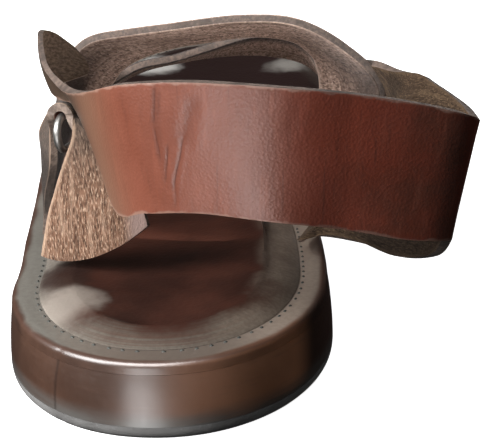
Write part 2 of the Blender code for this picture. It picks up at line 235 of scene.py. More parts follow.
# Ring, hung by its upper bar in the fold of the quarter strap
RING_BAR = Vector((-25.7, 67.0, 56.5))
RING_WIRE_RADIUS = 1.0
RING_WIDTH = 12.4
RING_HEIGHT = 8.4
RING_CORNER = 3.9
RING_CORNER_STEPS = 12
RING_SIDES = 24
RING_ALONG = Vector((0.32, 0.95, 0.0)).normalized()
RING_HANG = Vector((0.06, 0.0, -1.0)).normalized()

# Quarter strap: the outer leg from the sole up to the ring, and the tab that hangs down inside.
# Columns: rear x, rear station, rear z, front x, front station, front z, bulge
QUARTER_THICKNESS = 2.0
QUARTER_LEG = (
    (-35.6, 83.0, 18.5, -36.2, 96.0, 18.5, 0.0),
    (-33.8, 81.0, 30.0, -36.0, 92.0, 30.0, 0.4),
    (-31.2, 76.5, 40.5, -35.2, 86.5, 41.0, 0.5),
    (-30.0, 71.5, 48.0, -34.0, 80.5, 48.5, 0.4),
    (-29.2, 67.0, 53.4, -30.6, 75.0, 54.4, 0.2),
)
QUARTER_TAB = (
    (-23.3, 59.5, 53.0, -16.1, 61.0, 52.8, 0.5),
    (-24.7, 58.0, 48.4, -12.9, 57.0, 48.6, 0.8),
    (-26.6, 57.0, 43.0, -9.4, 53.0, 44.2, 1.0),
    (-29.6, 56.0, 34.2, -6.2, 49.5, 39.0, 1.2),
    (-32.0, 55.0, 23.4, -4.4, 47.5, 33.6, 1.0),
)
FOLD_HALF_WIDTH = 3.4
FOLD_CLEARANCE = 0.7
FOLD_ROWS = 7
QUARTER_STEPS = 12
QUARTER_ACROSS = 40
TAB_ROUND = 4.0

# Marks of the quarter strap. Rows count from the first, from the end of the fold or from the last one.
# The flesh face takes the darker shading colour over the leg and the fold and fades out down the top of the
# tab, where it is painted shade
TAB_SHADING_ROWS = (-1.5, 3.2)
# Painted shade on the grain back inside the fold's loop, round the ring
LEG_LOOP_SHADE_ROWS = (0.5, 2.0)
TAB_LOOP_SHADE_ROWS = (1.0, 3.0)
LOOP_SHADE_SHARE = 0.93
MARGIN_ROWS = (-1.3, -0.5)
MARGIN_WIDTH = (0.78, 0.92)

# Brown wax on the sole's edge. Behind the heel, painted light makes it paler inwards and painted shade
# darkens its inner side; both fade out forward of the heel.
WAX_DARK = (0.055, 0.026, 0.016)
WAX_LIGHT = (0.105, 0.052, 0.033)
WAX_PAINTED_LIGHT_WIDTH = (-0.004, 0.034)
WAX_PAINTED_LIGHT_DARK = (0.56, 0.235, 0.110)
WAX_PAINTED_LIGHT_LIGHT = (0.76, 0.33, 0.165)
SIDE_SHADE_WIDTH = (0.0305, 0.0355)
SIDE_SHADE_COLOUR = (0.022, 0.006, 0.003)
HEEL_LIGHT_AND_SHADE_END = (0.0, 0.08)

# Patches of the footbed: painted shadow below the tab, dust at the heel and painted highlights under the
# toes.
# Columns: place, inner and outer radius, share, colour
FOOTBED_PATCHES_AND_PAINTED_LIGHT = (
    ((-0.0265, -0.004, 0.021), (0.005, 0.012), 0.9, (0.026, 0.012, 0.009)),
    ((-0.0255, -0.0235, 0.021), (0.006, 0.014), 0.85, (0.33, 0.285, 0.245)),
    ((-0.022, 0.199, 0.018), (0.004, 0.013), 0.9, (0.50, 0.48, 0.45)),
    ((0.026, 0.196, 0.018), (0.001, 0.009), 0.6, (0.32, 0.30, 0.27)),
)

# Painted shade on the raw sides and cut edges of the straps, where they lie in shadow. Columns: place, inner
# and outer radius, share
ARCH_SHADES = (
    ((-0.035, 0.055, 0.040), (0.010, 0.022), 0.97),
    ((-0.038, 0.052, 0.028), (0.010, 0.020), 0.97),
    ((-0.028, 0.053, 0.052), (0.004, 0.026), 0.85),
    ((0.045, 0.058, 0.052), (0.003, 0.024), 0.75),
    ((0.034, 0.070, 0.062), (0.002, 0.008), 0.4),
    ((0.053, 0.046, 0.048), (0.006, 0.018), 0.85),
)
LEG_SHADES = (
    ((-0.033, 0.030, 0.034), (0.006, 0.015), 0.75),
)
HEEL_SHADES = (
    ((0.056, -0.010, 0.028), (0.008, 0.024), 0.65),
    ((0.060, 0.034, 0.056), (0.002, 0.010), 0.5),
)

# Tints of the heel strap across the foot, redder and darker towards the inner side: partly its hue, partly
# painted shade. Columns: first x, last x, colour
HEEL_HUE_AND_SHADE_TINTS = (
    (0.008, 0.028, (0.155, 0.043, 0.023)),
    (0.026, 0.042, (0.42, 0.070, 0.028)),
    (0.038, 0.070, (0.165, 0.025, 0.007)),
)

# Brown stains of the grain, towards the inner side of the foot
STAINED_WIDTH = (0.036, 0.056)
STAIN_SHARE = 0.55
STAIN_COLOUR = (0.075, 0.027, 0.011)

# Leathers. Columns: key, name, dark and light colour, tints, roughness, coat
GRAIN_LOOKS = (
    ("grain", "waxed grain leather", (0.205, 0.060, 0.034), (0.255, 0.080, 0.047), HEEL_HUE_AND_SHADE_TINTS,
     (0.34, 0.44), 0.25),
    ("grain_front", "darker grain leather", (0.115, 0.035, 0.020), (0.15, 0.048, 0.028), (),
     (0.52, 0.64), 0.04),
)

# Raw sides. flesh_heel is painted dark as shade, paler where marked as painted light, and flesh_arch is
# painted pale as light.
# Columns: key, name, dark, middle and pale colour, painted shading colour, fibre scale along and across,
# depth, sheen, painted shade spots, share of the pale edge
FLESH_LOOKS = (
    ("flesh", "coarse flesh side", (0.060, 0.028, 0.016), (0.24, 0.125, 0.076), (0.60, 0.41, 0.29),
     (0.13, 0.092, 0.070), (380.0, 1900.0), 0.35, 0.15, LEG_SHADES, 0.6),
    ("flesh_heel", "worn flesh side", (0.018, 0.009, 0.004), (0.050, 0.029, 0.016), (0.115, 0.074, 0.042),
     (0.31, 0.21, 0.145), (500.0, 1400.0), 0.25, 0.03, HEEL_SHADES, 0.3),
    ("flesh_arch", "raw flesh side", (0.13, 0.075, 0.053), (0.53, 0.36, 0.285), (0.80, 0.61, 0.50),
     (0.10, 0.078, 0.070), (950.0, 270.0), 0.35, 0.1, ARCH_SHADES, 0.3),
)

# Cut edges. Columns: key, name, dark and pale colour, colour of soiling and of painted shade, painted shade
# spots
CUT_EDGE_LOOKS = (
    ("cut_edge", "raw cut edge", (0.17, 0.120, 0.092), (0.34, 0.255, 0.205), (0.05, 0.03, 0.02), LEG_SHADES),
    ("worn_edge", "worn cut edge", (0.080, 0.052, 0.038), (0.17, 0.118, 0.092), (0.035, 0.021, 0.014), ()),
)

# Other colours, and how ragged shades and patches are
# Painted shade in the creases of the grain
CREASE_SHADE_COLOUR = (0.06, 0.016, 0.009)
AGED_COLOUR = (0.215, 0.125, 0.080)
OLDEST_COLOUR = (0.085, 0.055, 0.038)
RUBBED_COLOUR = (0.42, 0.26, 0.20)
MARGIN_COLOUR = (0.27, 0.185, 0.160)
WALL_LINE_COLOUR = (0.14, 0.075, 0.052)
WALL_JOINT_COLOUR = (0.012, 0.006, 0.004)
FLOOR_DUST = (0.115, 0.108, 0.10)
LIP_COLOUR = (0.085, 0.040, 0.026)
RIM_DUST_OUTER = (0.235, 0.225, 0.195)
RIM_DUST_MIDDLE = (0.15, 0.12, 0.095)
RIM_DUST_INNER = (0.34, 0.275, 0.22)
RIM_SPECKS = (0.09, 0.07, 0.055)
FOOTBED_DARK = (0.026, 0.008, 0.005)
FOOTBED_LIGHT = (0.056, 0.018, 0.011)
# Painted shade of the footbed from under the instep strap forward
FOOTBED_FRONT_SHADE = (0.016, 0.007, 0.006)
FOOTBED_DUST_DARK = (0.12, 0.075, 0.055)
FOOTBED_DUST_LIGHT = (0.15, 0.13, 0.105)
FOOTBED_DUST_OUTER = (0.235, 0.215, 0.185)
# Dust on the footbed border's inner side, lifted as painted light
FOOTBED_INNER_DUST_AND_LIGHT = (0.27, 0.215, 0.165)
FOOTBED_SPECKS = (0.08, 0.06, 0.047)
RUBBER_DARK = (0.13, 0.125, 0.12)
RUBBER_LIGHT = (0.20, 0.195, 0.19)
RUBBER_SPECKS = (0.25, 0.245, 0.24)
METAL_LIGHT = (0.30, 0.29, 0.275)
METAL_DARK = (0.17, 0.165, 0.155)
THREAD_DARK = (0.018, 0.020, 0.016)
THREAD_LIGHT = (0.060, 0.060, 0.050)
FLOOR_DARK = (0.86, 0.86, 0.86)
FLOOR_LIGHT = (0.89, 0.89, 0.885)
SHADE_WAVE = 0.002
PATCH_WAVE = 0.003

# Camera at the photo's place
CAMERA_PLACE = Vector((0.03807, -0.41035, 0.18143))
CAMERA_AZIMUTH = 2.715
CAMERA_ELEVATION = 19.914
CAMERA_ROLL = math.radians(-1.756)
CAMERA_LENS = 131.5

# Soft lights. The last one lies in the shoe and lights the underside of the straps.
# Columns: azimuth, elevation, distance, width, height, power, what it reaches
LIGHTS = (
    (-62.0, 30.0, 1.3, 0.9, 0.9, 38.0, "all"),
    (-14.5, -21.0, 1.2, 0.42, 0.5, 5.0, "shine"),
    (-14.0, 44.0, 1.2, 0.9, 0.9, 36.0, "shine"),
    (-150.0, 62.0, 1.6, 1.2, 1.2, 1.0, "all"),
    (38.0, 4.0, 1.4, 0.8, 0.8, 0.9, "dull"),
    (160.0, 12.0, 1.4, 0.9, 0.9, 15.0, "dull"),
    (-10.0, -50.0, 0.02, 0.03, 0.02, 0.018, "dull"),
)
LIGHT_TARGET = Vector((0.0, 0.03, 0.04))

# Glow of the room. Columns: azimuth, elevation, sharpness, strength
ROOM_GLOW = (
    (-20.0, -48.0, 4.0, 0.6),
    (-25.0, 45.0, 5.0, 0.3),
    (-165.0, 20.0, 4.0, 0.6),
)
ROOM_LEVEL = 0.03
FLOOR_HALF_SIZE = 4.0
FLOOR_DROP = 0.05


def through(rows, at):
    """Smooth curve through rows of (place, value), level at both ends."""
    places, values = zip(*rows)
    last = len(rows) - 1
    if at <= places[0]:
        return values[0]
    if at >= places[last]:
        return values[last]
    span = 0
    while at > places[span + 1]:
        span += 1
    slopes = [0.0] * len(rows)
    for i in range(1, last):
        slopes[i] = (values[i + 1] - values[i - 1]) / (places[i + 1] - places[i - 1])
    width = places[span + 1] - places[span]
    t = (at - places[span]) / width
    start = values[span] * (2 * t**3 - 3 * t**2 + 1) + width * slopes[span] * (t**3 - 2 * t**2 + t)
    end = values[span + 1] * (3 * t**2 - 2 * t**3) + width * slopes[span + 1] * (t**3 - t**2)
    return start + end


def along(rows, at):
    """Smooth curve through equally spaced rows of numbers, at 0 on the first row."""
    last = len(rows) - 1
    span = min(int(at), last - 1)
    t = at - span
    before = rows[max(span - 1, 0)]
    first = rows[span]
    second = rows[span + 1]
    after = rows[min(span + 2, last)]
    result = []
    for a, b, c, d in zip(before, first, second, after):
        bend = (2 * a - 5 * b + 4 * c - d) * t**2 + (3 * b - a - 3 * c + d) * t**3
        result.append(b + 0.5 * ((c - a) * t + bend))
    return result


def ramp(low, high, at):
    """0 below low, 1 above high, and an even rise between."""
    return min(max((at - low) / (high - low), 0.0), 1.0)


def smooth(low, high, at):
    """0 below low, 1 above high, and a smooth rise between."""
    t = ramp(low, high, at)
    return t * t * (3.0 - 2.0 * t)


def round_end(half_width, length, roundness, back):
    """Half width of a rounded end, back from its widest place."""
    share = ramp(0.0, length, back)
    return half_width * (1.0 - share**roundness) ** (1.0 / roundness)


def sole_edge(side, station):
    """x of the sole's edge, with side -1 on the outer and 1 on the inner side of the foot."""
    rows = OUTER_EDGE if side < 0 else INNER_EDGE
    if station < HEEL_CENTRE:
        return side * round_end(HEEL_HALF_WIDTH, HEEL_CENTRE, HEEL_ROUNDNESS, HEEL_CENTRE - station)
    widest, edge = rows[-1]
    if station <= widest:
        return through(rows, station)
    half = abs(edge - TOE_TIP_X)
    return TOE_TIP_X + side * round_end(half, LENGTH - widest, TOE_ROUNDNESS, station - widest)


def sole_outline(steps):
    """Edge points of the sole with their outward directions, as pairs on the two sides."""
    turns = [math.pi * k / steps for k in range(steps + 1)]
    stations = [0.5 * LENGTH * (1.0 - math.cos(turn)) for turn in turns]
    outer = [Vector((sole_edge(-1, s), s)) for s in stations]
    inner = [Vector((sole_edge(1, s), s)) for s in stations]
    loop = outer + inner[-2:0:-1]
    edge = []
    for before, point, after in zip(loop[-1:] + loop, loop, loop[1:] + loop[:1]):
        run = after - before
        edge.append((point, Vector((-run.y, run.x)).normalized()))
    return [(edge[k], edge[-k]) for k in range(steps + 1)]


def ground_line(station):
    """Height of the underside: flat under heel and ball, lifted at the arch and the toe."""
    if ARCH_START < station < ARCH_END:
        share = (station - ARCH_START) / (ARCH_END - ARCH_START)
        return ARCH_LIFT * math.sin(math.pi * share) ** 2
    if station > SPRING_START:
        return TOE_SPRING * ((station - SPRING_START) / (LENGTH - SPRING_START)) ** SPRING_CURVE
    return 0.0


def rim_line(station):
    return through(RIM_LINE, station)


def footbed_rise(side_share, station):
    """Height of the footbed over the rim, with side_share from -1 outer to 1 inner."""
    forward = ramp(HEEL_DISH_END, FOREFOOT_DISH_START, station)
    dish = HEEL_DISH + (FOREFOOT_DISH - HEEL_DISH) * forward
    rise = INSOLE_EDGE - dish * (1.0 - side_share**2) ** DISH_ROUNDNESS
    near_arch = math.exp(-(((station - ARCH_SUPPORT_AT) / ARCH_SUPPORT_REACH) ** 2))
    return rise + ARCH_SUPPORT * near_arch * max(side_share, 0.0) ** 2


def unevenness(point, waves):
    return sum(depth * noise.noise(point / size) for depth, size in waves)


def circle(bm, centre, first, second, radius, sides):
    """A ring of points round a centre, from the first direction towards the second."""
    ring = []
    for k in range(sides):
        angle = 2.0 * math.pi * k / sides
        offset = first * math.cos(angle) + second * math.sin(angle)
        ring.append(bm.verts.new(centre + offset * radius))
    return ring


def join_rings(bm, rings, closed=False):
    """Faces between rings of points, which go round to the first ring or end in a face at both ends."""
    size = len(rings[0])
    for ring, following in zip(rings, rings[1:] + rings[:1] if closed else rings[1:]):
        for i in range(size):
            j = (i + 1) % size
            bm.faces.new((ring[i], ring[j], following[j], following[i]))
    if not closed:
        bm.faces.new(rings[0])
        bm.faces.new(rings[-1])


def add_piece(name, bm, materials, slot, *nodes):
    """Link a piece at the solids' place and let it ride and stand for its nodes."""
    bmesh.ops.recalc_face_normals(bm, faces=bm.faces)
    mesh = bpy.data.meshes.new(name)
    bm.to_mesh(mesh)
    bm.free()
    mesh.transform(Matrix.Translation((0.0, -HEEL_CENTRE, 0.0)))
    mesh.transform(Matrix.Scale(MM, 4))
    mesh.shade_smooth()
    mesh.set_sharp_from_angle(angle=SHARP_ANGLE)
    for material in materials:
        mesh.materials.append(material)
    piece = bpy.data.objects.new(name, mesh)
    bpy.context.scene.collection.objects.link(piece)
    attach(piece, "root")
    if nodes:
        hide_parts(*nodes)
    return piece


def layer(name, floor, ceiling, wall, material, top=(1, None), bottom=(1, None), dress=None):
    """A layer of the sole: closed rings across the foot, joined in turn from heel to toe.

    Top and bottom are a number of columns and a height for each share across. Each point keeps its
    distance from the edge of the sole and its share of the wall's height for the material.
    """
    profile = [along(wall, k * (len(wall) - 1) / WALL_STEPS) for k in range(WALL_STEPS + 1)]
    bm = bmesh.new()
    inset_layer = bm.verts.layers.float.new("inset")
    height_layer = bm.verts.layers.float.new("height")
    rings = []
    for pair in sole_outline(SOLE_STEPS):
        sides = []
        for edge, outward in pair:
            points = []
            for share, inset in profile:
                spot = edge - outward * inset
                low = floor(spot.y)
                point = Vector((spot.x, spot.y, low + share * (ceiling(spot.y) - low)))
                if dress:
                    point += outward.to_3d() * dress(point)
                points.append((point, inset, share))
            sides.append(points)
        outer, inner = sides
        ring = outer + spread(outer[-1], inner[-1], *top)
        ring += inner[::-1] + spread(inner[0], outer[0], *bottom)
        verts = []
        for point, inset, share in ring:
            vert = bm.verts.new(point)
            vert[inset_layer] = inset
            vert[height_layer] = share
            verts.append(vert)
        rings.append(verts)
    join_rings(bm, rings)
    bmesh.ops.remove_doubles(bm, verts=bm.verts, dist=MERGE_DISTANCE)
    bmesh.ops.dissolve_degenerate(bm, edges=bm.edges, dist=MERGE_DISTANCE)
    add_piece(name, bm, [material], name, name)


def spread(first, last, columns, height):
    """Points between two wall points, with their distance from the nearer edge."""
    start, inset, share = first
    end = last[0]
    points = []
    for c in range(1, columns):
        spot = start.lerp(end, c / columns)
        if height:
            spot.z = height(2.0 * c / columns - 1.0, spot)
        points.append((spot, inset + min((spot - start).length, (spot - end).length), share))
    return points


def tread_height(side_share, spot):
    """Underside of the outsole: shallow wavy grooves, clear of the edge."""
    ground = ground_line(spot.y)
    margin = min(spot.x - sole_edge(-1, spot.y), sole_edge(1, spot.y) - spot.x, spot.y, LENGTH - spot.y)
    inside = smooth(*TREAD_MARGIN, margin)
    wave = spot.y + TREAD_WAVE * math.sin(2.0 * math.pi * spot.x / TREAD_WAVE_LENGTH)
    groove = smooth(*TREAD_RISE, math.sin(2.0 * math.pi * wave / TREAD_PITCH))
    return ground + TREAD_DEPTH * groove * inside


def wall_unevenness(point):
    """Slight hand-finished waves of the sole wall, and its upright joint."""
    shift = unevenness(point, WALL_WAVES)
    if point.x < 0.0 and point.y < HEEL_CENTRE:
        off = (point.y - WALL_JOINT_STATION) / WALL_JOINT_WIDTH
        shift -= WALL_JOINT_DEPTH * math.exp(-off * off)
    return shift


def raised(line, rise):
    return lambda station: line(station) + rise


def build_sole(looks):
    def footbed(side_share, spot):
        waves = unevenness(spot, FOOTBED_WAVES)
        return rim_line(spot.y) + footbed_rise(side_share, spot.y) + waves * (1.0 - side_share**4)

    midsole_floor = raised(ground_line, OUTSOLE_THICKNESS + VISIBLE_GAP)
    midsole_ceiling = raised(rim_line, -WELT_THICKNESS - VISIBLE_GAP)
    layer("outsole", ground_line, raised(ground_line, OUTSOLE_THICKNESS), OUTSOLE_WALL, looks["rubber"],
          bottom=(TREAD_COLUMNS, tread_height), dress=wall_unevenness)
    layer("midsole", midsole_floor, midsole_ceiling, MIDSOLE_WALL, looks["sole_wall"], dress=wall_unevenness)
    layer("welt", raised(rim_line, -WELT_THICKNESS), rim_line, WELT_WALL, looks["welt"],
          top=(WELT_COLUMNS, None), dress=wall_unevenness)
    layer("insole", raised(rim_line, VISIBLE_GAP), raised(rim_line, INSOLE_EDGE), INSOLE_WALL,
          looks["insole"], top=(INSOLE_COLUMNS, footbed))


def build_stitches(look):
    """Short stitches sunk in the rim beside the footbed, all the way round."""
    line = []
    outer, inner = zip(*sole_outline(SOLE_STEPS))
    for edge, outward in outer + inner[::-1]:
        spot = edge - outward * STITCH_INSET
        line.append(Vector((spot.x, spot.y, rim_line(spot.y))))
    bm = bmesh.new()
    gone = 0.0
    for first, second in zip(line, line[1:]):
        gone += (second - first).length
        if gone >= STITCH_PITCH:
            gone -= STITCH_PITCH
            add_stitch(bm, second, (second - first).normalized())
    add_piece("footbed_stitches", bm, [look], "insole")


def add_stitch(bm, middle, direction):
    """One stitch: a thread that rises out of its hole and goes back in."""
    side = direction.cross(UP).normalized()
    rings = []
    for step in range(STITCH_STEPS + 1):
        share = 2.0 * step / STITCH_STEPS - 1.0
        rise = -STITCH_SINK - STITCH_DIP * share**2
        centre = middle + direction * share * STITCH_LENGTH / 2 + UP * rise
        rings.append(circle(bm, centre, side, UP, STITCH_RADIUS, STITCH_SIDES))
    join_rings(bm, rings)


def sheet(name, grid, thickness, materials, slot, marks, is_open=None, rounding=EDGE_ROUND):
    """A leather sheet on a grid of middle points, with a face, a back and rounded cut edges.

    Marks holds a grid of values for each name that the materials read. The piece stands for the node named by
    slot.
    """
    rows = len(grid)
    columns = len(grid[0])
    bm = bmesh.new()
    uv_layer = bm.loops.layers.uv.new("strap")
    mark_layers = {mark: bm.verts.layers.float.new(mark) for mark in marks}
    lengths = distances_along([line[columns // 2] for line in grid])
    places = []
    for line in grid:
        widths = distances_along(line)
        places.append([width - widths[-1] / 2 for width in widths])
    verts = [[bm.verts.new(point) for point in line] for line in grid]
    for mark, values in marks.items():
        for line, line_values in zip(verts, values):
            for vert, value in zip(line, line_values):
                vert[mark_layers[mark]] = value
    for i in range(rows - 1):
        for j in range(columns - 1):
            if is_open and is_open(i, j):
                continue
            corners = ((i, j), (i + 1, j), (i + 1, j + 1), (i, j + 1))
            face = bm.faces.new([verts[r][c] for r, c in corners])
            for loop, (r, c) in zip(face.loops, corners):
                loop[uv_layer].uv = (lengths[r] * MM, places[r][c] * MM)
    loose = [vert for vert in bm.verts if not vert.link_faces]
    bmesh.ops.delete(bm, geom=loose, context="VERTS")
    piece = add_piece(name, bm, materials, slot, slot)
    solid = piece.modifiers.new("thickness", "SOLIDIFY")
    solid.thickness = thickness * MM
    solid.offset = 0.0
    solid.material_offset = 1
    solid.material_offset_rim = 2
    bevel = piece.modifiers.new("rounded edges", "BEVEL")
    bevel.width = rounding * MM
    bevel.segments = EDGE_SEGMENTS
    bevel.limit_method = "ANGLE"
    bevel.angle_limit = SHARP_ANGLE
    return piece


def strap_grid(rows, steps, across, end_round):
    """Middle points of a strap through its sections, with a bulge and a rounded far end."""
    count = (len(rows) - 1) * steps + 1
    sections = [along(rows, i / steps) for i in range(count)]
    edges = [(Vector(s[0:3]), Vector(s[3:6])) for s in sections]
    middles = [(a + b) / 2 for a, b in edges]
    shares = [j / across for j in range(across + 1)]
    grid = []
    for i in range(count):
        first, second = edges[i]
        run = (middles[min(i + 1, count - 1)] - middles[max(i - 1, 0)]).normalized()
        outward = run.cross(second - first).normalized()
        near_end = max(0.0, 1.0 - (count - 1 - i) / steps)
        swell = outward * sections[i][6] + run * end_round * near_end
        grid.append([first.lerp(second, t) + swell * (4.0 * t * (1.0 - t)) for t in shares])
    return grid


def outward_at(grid, i, j):
    run = grid[min(i + 1, len(grid) - 1)][j] - grid[max(i - 1, 0)][j]
    width = grid[i][min(j + 1, len(grid[0]) - 1)] - grid[i][max(j - 1, 0)]
    return run.cross(width).normalized()


def press_creases(grid, creases, steps):
    """Soft troughs pressed into a strap's grid. Returns the moved grid and the painted shade of each point in
    the creases.
    """
    across = len(grid[0]) - 1
    moved = [list(line) for line in grid]
    crease_shade = [[0.0] * (across + 1) for _ in grid]
    for first_row, first_share, last_row, last_share, depth, half_width, darkness in creases:
        start = grid[round(first_row * steps)][round(first_share * across)]
        axis = grid[round(last_row * steps)][round(last_share * across)] - start
        for i, line in enumerate(grid):
            for j, point in enumerate(line):
                t = (point - start).dot(axis) / axis.length_squared
                off = (point - start - axis * t).length / half_width
                fade = smooth(*CREASE_FADE, t) * smooth(*CREASE_FADE, 1.0 - t)
                if off > CREASE_REACH or fade == 0.0:
                    continue
                trough = math.exp(-(off**2))
                ridge = RIDGE_SHARE * math.exp(-((off - RIDGE_PLACE) ** 2))
                moved[i][j] = moved[i][j] - outward_at(grid, i, j) * depth * fade * (trough - ridge)
                crease_shade[i][j] = max(crease_shade[i][j], fade * trough * darkness)
    return moved, crease_shade


def distances_along(line):
    """Distance of each point of a line from its first point, along the line."""
    distances = [0.0]
    for a, b in zip(line, line[1:]):
        distances.append(distances[-1] + (b - a).length)
    return distances


def make_uneven(grid, waves):
    """Move the points of a strap slightly in and out."""
    for i, line in enumerate(grid):
        for j, point in enumerate(line):
            line[j] = point + outward_at(grid, i, j) * unevenness(point, waves)


def marked_rows(grid, steps, value):
    """A mark that is the same all across each row of a strap."""
    return [[value(i / steps)] * len(line) for i, line in enumerate(grid)]


def edge_distances(grid):
    """Distance of each point from the nearer long edge of its strap."""
    distances = []
    for line in grid:
        widths = distances_along(line)
        distances.append([min(width, widths[-1] - width) for width in widths])
    return distances


def build_heel_strap(looks):
    grid = strap_grid(HEEL_STRAP, HEEL_STRAP_STEPS, HEEL_STRAP_ACROSS, HEEL_STRAP_TIP)
    grid, crease_shade = press_creases(grid, HEEL_CREASES, HEEL_STRAP_STEPS)
    make_uneven(grid, HEEL_STRAP_WAVES)
    marks = {
        "crease": crease_shade,
        "edge": edge_distances(grid),
        "painted_shading": marked_rows(grid, HEEL_STRAP_STEPS, lambda row: smooth(*PAINTED_LIGHT_ROWS, row)),
        "aged": marked_rows(grid, HEEL_STRAP_STEPS, lambda row: ramp(*AGED_ROWS, row)),
    }
    materials = [looks["grain"], looks["flesh_heel"], looks["worn_edge"]]
    strap = sheet("heel_strap", grid, STRAP_THICKNESS, materials, "upper", marks, rounding=HEEL_EDGE_ROUND)
    strap.modifiers["rounded edges"].material = 0
    thick = strap.vertex_groups.new(name="thick")
    for i, line in enumerate(grid):
        row = i / HEEL_STRAP_STEPS
        skived = 1.0 - (1.0 - SKIVED_SHARE) * smooth(*SKIVED_ROWS, row)
        near_bend = math.exp(-((row - TIGHT_BEND_ROW) ** 2))
        for j in range(len(line)):
            low = smooth(*TIGHT_BEND_WIDTH, j / HEEL_STRAP_ACROSS)
            share = min(skived, 1.0 - (1.0 - TIGHT_BEND_SHARE) * near_bend * low)
            thick.add([i * len(line) + j], share, "REPLACE")
    strap.modifiers["thickness"].vertex_group = "thick"


def crossing_edge(row):
    """The points of one edge across the foot, from the outer leg to the inner leg."""
    (outer_station, inner_station), between = row
    outer_x = sole_edge(-1, outer_station) + STRAP_INSET
    inner_x = sole_edge(1, inner_station) - STRAP_INSET
    outline = [(outer_x, rim_line(outer_station)), *between, (inner_x, rim_line(inner_station))]
    last = len(outline) - 1
    points = []
    for i in range(CROSSING_STEPS + 1):
        share = i / CROSSING_STEPS
        x, z = along(outline, share * last)
        points.append(Vector((x, outer_station + share * (inner_station - outer_station), z)))
    return points


def build_crossing(looks):
    """Instep strap and ball strap, one sheet with a slit between them."""
    instep_rear, instep_front, ball_rear, ball_front = [
        crossing_edge(row) for row in (INSTEP_REAR, INSTEP_FRONT, BALL_REAR, BALL_FRONT)
    ]
    grid = []
    for i in range(CROSSING_STEPS + 1):
        share = i / CROSSING_STEPS
        inside = min(share - SLIT_START, SLIT_END - share)
        closed = SLIT_CLOSED * (1.0 - smooth(0.0, SLIT_TAPER, inside))
        front = instep_front[i].lerp(ball_rear[i], closed)
        rear = ball_rear[i].lerp(instep_front[i], closed)
        line = [instep_rear[i].lerp(front, r / INSTEP_ROWS) for r in range(INSTEP_ROWS + 1)]
        line += [rear.lerp(ball_front[i], r / BALL_ROWS) for r in range(BALL_ROWS + 1)]
        grid.append(line)
    make_uneven(grid, CROSSING_WAVES)

    def in_slit(i, j):
        return j == INSTEP_ROWS and SLIT_START <= (i + 0.5) / CROSSING_STEPS <= SLIT_END

    # Painted highlight along the instep strap's front edge and painted shadow on the ball strap near its rear
    # edge
    rim = []
    painted_shading = []
    for line in grid:
        instep = line[:INSTEP_ROWS + 1]
        ball = line[INSTEP_ROWS + 1:]
        rim.append([1.0 - smooth(*SLIT_RIM, (p - instep[-1]).length) for p in instep] + [0.0] * len(ball))
        painted_shading.append([0.0] * len(instep) + [1.0 - smooth(*BALL_SHADE, (p - ball[0]).length) for p in ball])
    marks = {"edge": edge_distances(grid), "painted_shading": painted_shading, "rim": rim}
    materials = [looks["grain_front"], looks["flesh_arch"], looks["worn_edge"]]
    straps = sheet("crossing_straps", grid, STRAP_THICKNESS, materials, "upper", marks, in_slit)
    straps.modifiers["rounded edges"].material = 1


def build_ring(look):
    """A round wire bent to a long ring with round ends, hanging from its upper bar."""
    facing = RING_ALONG.cross(RING_HANG).normalized()
    half = RING_WIDTH / 2 - RING_CORNER
    corners = ((half, RING_CORNER, -90.0), (half, RING_HEIGHT - RING_CORNER, 0.0),
               (-half, RING_HEIGHT - RING_CORNER, 90.0), (-half, RING_CORNER, 180.0))
    bm = bmesh.new()
    rings = []
    for centre_along, centre_down, start in corners:
        for step in range(RING_CORNER_STEPS + 1):
            turn = math.radians(start + 90.0 * step / RING_CORNER_STEPS)
            away = RING_ALONG * math.cos(turn) + RING_HANG * math.sin(turn)
            centre = RING_BAR + RING_ALONG * centre_along + RING_HANG * centre_down + away * RING_CORNER
            rings.append(circle(bm, centre, away, facing, RING_WIRE_RADIUS, RING_SIDES))
    join_rings(bm, rings, closed=True)
    add_piece("wire_ring", bm, [look], "ring", "ring")


def fold_rows():
    """Sections of the quarter strap round the upper bar of the ring, outer side first."""
    facing = RING_ALONG.cross(UP).normalized()
    radius = RING_WIRE_RADIUS + FOLD_CLEARANCE + QUARTER_THICKNESS / 2
    rows = []
    for i in range(FOLD_ROWS):
        turn = math.pi * (1.0 - i / (FOLD_ROWS - 1))
        middle = RING_BAR + facing * radius * math.cos(turn)
        middle.z += radius * math.sin(turn)
        rear = middle - RING_ALONG * FOLD_HALF_WIDTH
        front = middle + RING_ALONG * FOLD_HALF_WIDTH
        rows.append((*rear, *front, 0.0))
    return tuple(rows)


def build_quarter_strap(looks):
    rows = QUARTER_LEG + fold_rows() + QUARTER_TAB
    grid = strap_grid(rows, QUARTER_STEPS, QUARTER_ACROSS, TAB_ROUND)
    make_uneven(grid, QUARTER_WAVES)
    fold_end = len(QUARTER_LEG) + FOLD_ROWS
    last_row = len(rows) - 1

    # Darker shading colour on the flesh face, painted shade down the top of the tab
    def painted_shading(row):
        return 1.0 - smooth(*TAB_SHADING_ROWS, row - fold_end)

    # Painted shade on the grain back inside the fold's loop
    def loop_shade(row):
        return LOOP_SHADE_SHARE * smooth(*LEG_LOOP_SHADE_ROWS, row) * (1.0 - smooth(*TAB_LOOP_SHADE_ROWS, row - fold_end))

    margin = []
    for i, line in enumerate(grid):
        low = smooth(*MARGIN_ROWS, i / QUARTER_STEPS - last_row)
        margin.append([low * smooth(*MARGIN_WIDTH, j / QUARTER_ACROSS) for j in range(len(line))])
    marks = {
        "crease": marked_rows(grid, QUARTER_STEPS, loop_shade),
        "edge": edge_distances(grid),
        "painted_shading": marked_rows(grid, QUARTER_STEPS, painted_shading),
        "margin": margin,
    }
    materials = [looks["flesh"], looks["grain_front"], looks["cut_edge"]]
    sheet("quarter_strap_leather", grid, QUARTER_THICKNESS, materials, "quarter_strap", marks)


